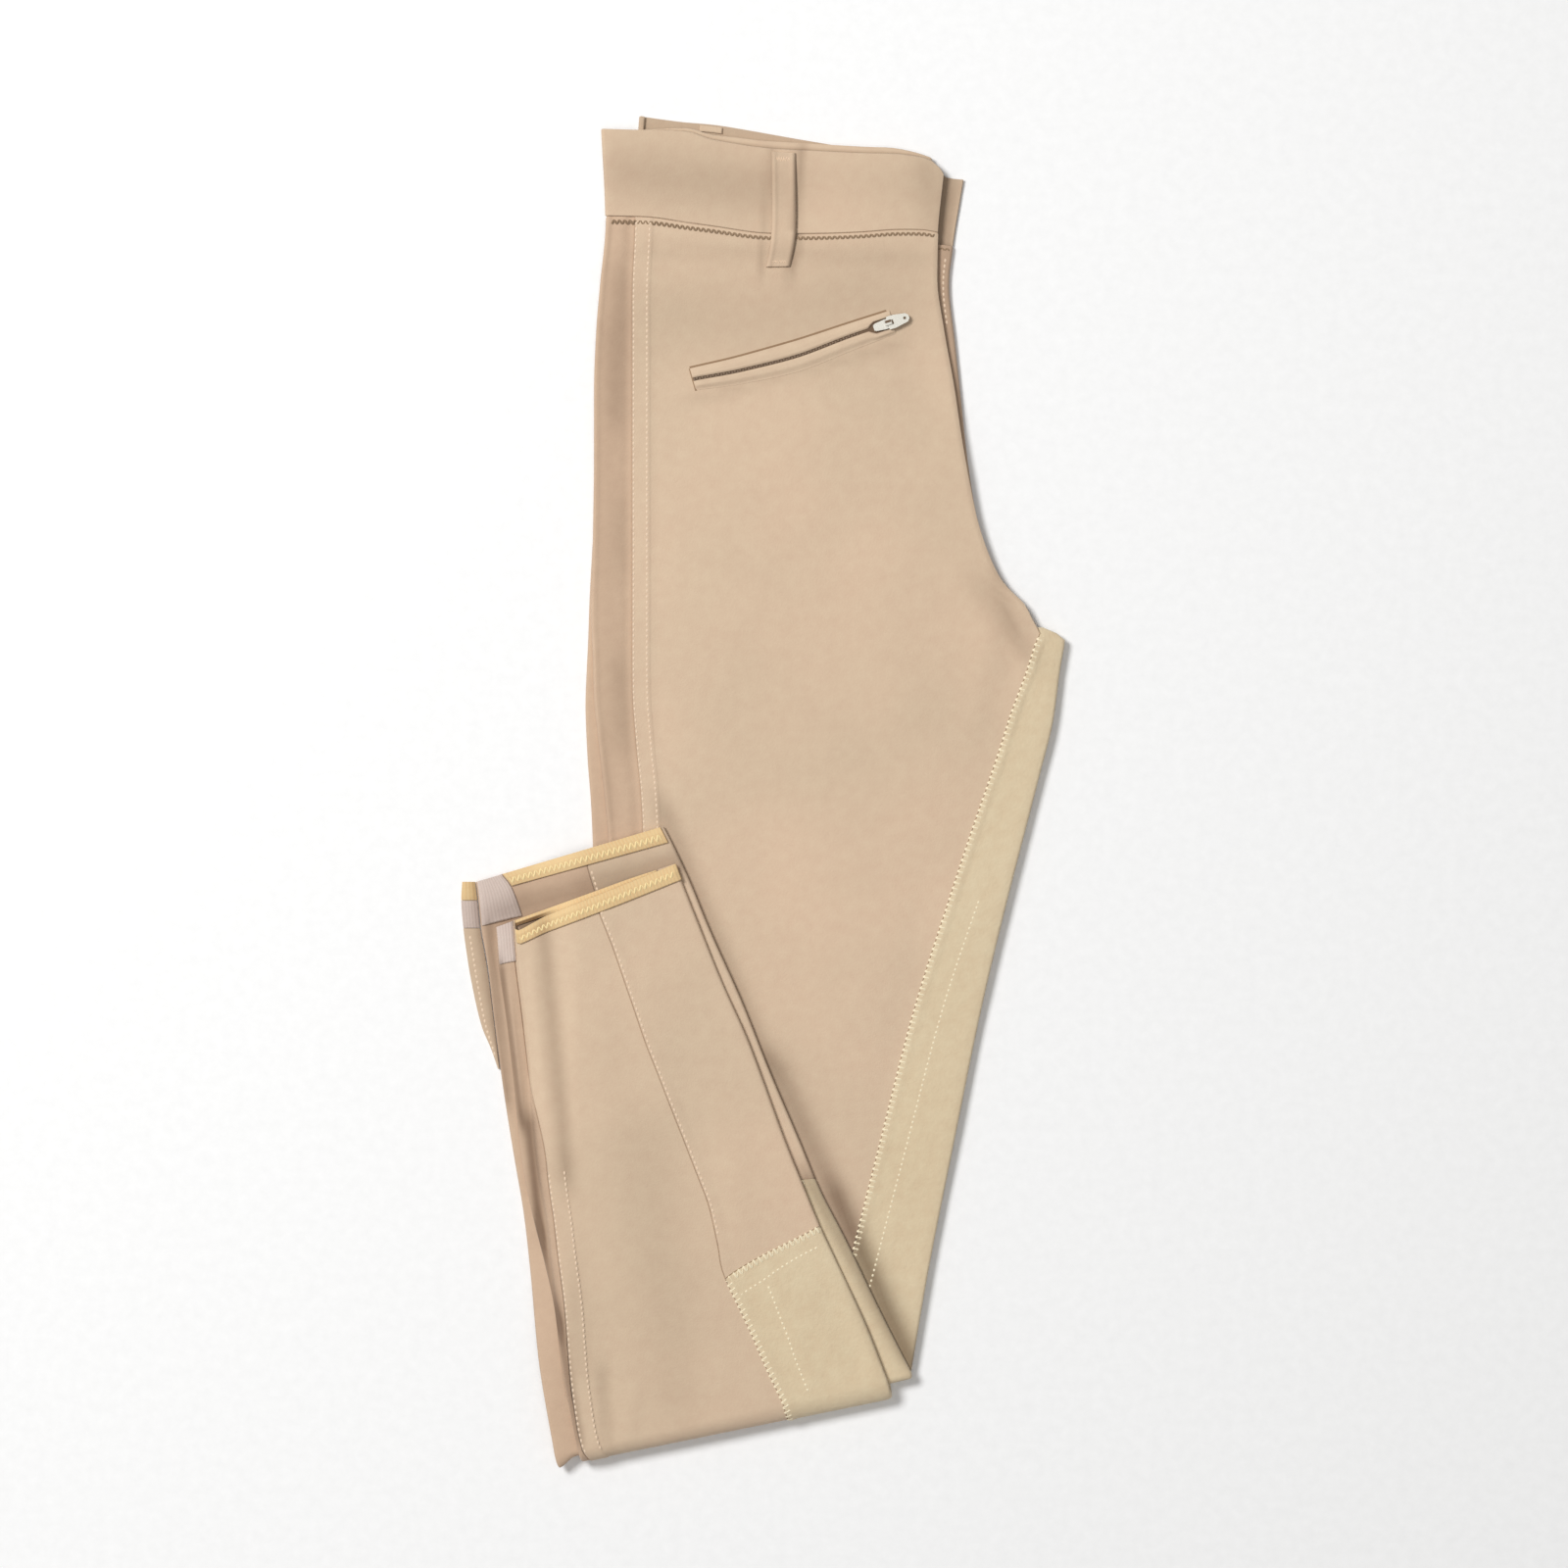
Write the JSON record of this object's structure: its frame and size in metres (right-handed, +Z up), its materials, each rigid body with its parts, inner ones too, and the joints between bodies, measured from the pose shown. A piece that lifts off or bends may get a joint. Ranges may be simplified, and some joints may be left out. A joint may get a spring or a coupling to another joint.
{
  "type": "folded riding leggings",
  "caption": "Beige riding breeches laid flat, pressed in half along the centre and folded up at the knee, with suede inner leg patches, hem tapes and a zip pocket.",
  "frame": {"origin": "centre of the bounding box, on the surface the folded garment lies on", "axes": "+Y towards the waist, +X to the right seen from above with the waist up, +Z up from the surface"},
  "size_m": [0.3208, 0.7178, 0.0172],
  "materials": {
    "breech_cloth": "fine matt stretch weave in beige",
    "patch_suede": "brushed synthetic suede, slightly yellower than the cloth",
    "hem_tape": "golden woven elastic tape",
    "cuff_knit": "pale lilac stretch knit",
    "zip_metal": "light satin metal"
  },
  "bodies": {
    "garment": {"waistband_front_near": "breech_cloth", "waistband_back": "breech_cloth", "waistband_front_far": "breech_cloth", "belt_loop_near": "breech_cloth", "belt_loop_far": "breech_cloth", "front_panel_near": "breech_cloth", "back_panel_near": "breech_cloth", "thigh_patch_near": "patch_suede", "shin_panel_near": "breech_cloth", "front_panel_far": "breech_cloth", "back_panel_far": "breech_cloth", "thigh_patch_far": "patch_suede", "shin_panel_far": "breech_cloth", "fly_far": "breech_cloth", "inner_layers": "breech_cloth", "pocket_welt_upper": "breech_cloth", "pocket_welt_lower": "breech_cloth", "zip_chain": "zip_metal", "zip_slider": "zip_metal", "hem_tape_far": "hem_tape", "hem_back_far": "hem_tape", "hem_tape_near": "hem_tape", "hem_tape_flap": "hem_tape", "cuff_knit_far": "cuff_knit", "cuff_knit_near": "cuff_knit", "cuff_knit_flap": "cuff_knit", "ankle_flap": "breech_cloth"},
    "pull_tab": {"zip_pull": "zip_metal"}
  },
  "joints": [
    {"name": "zip_pull_hinge", "type": "hinge", "parent": "garment", "child": "pull_tab", "pos_m": [0.06659, 0.24817, 0.00979], "axis": [0.309, -0.9511, 0], "range_deg": [0, 170]}
  ]
}
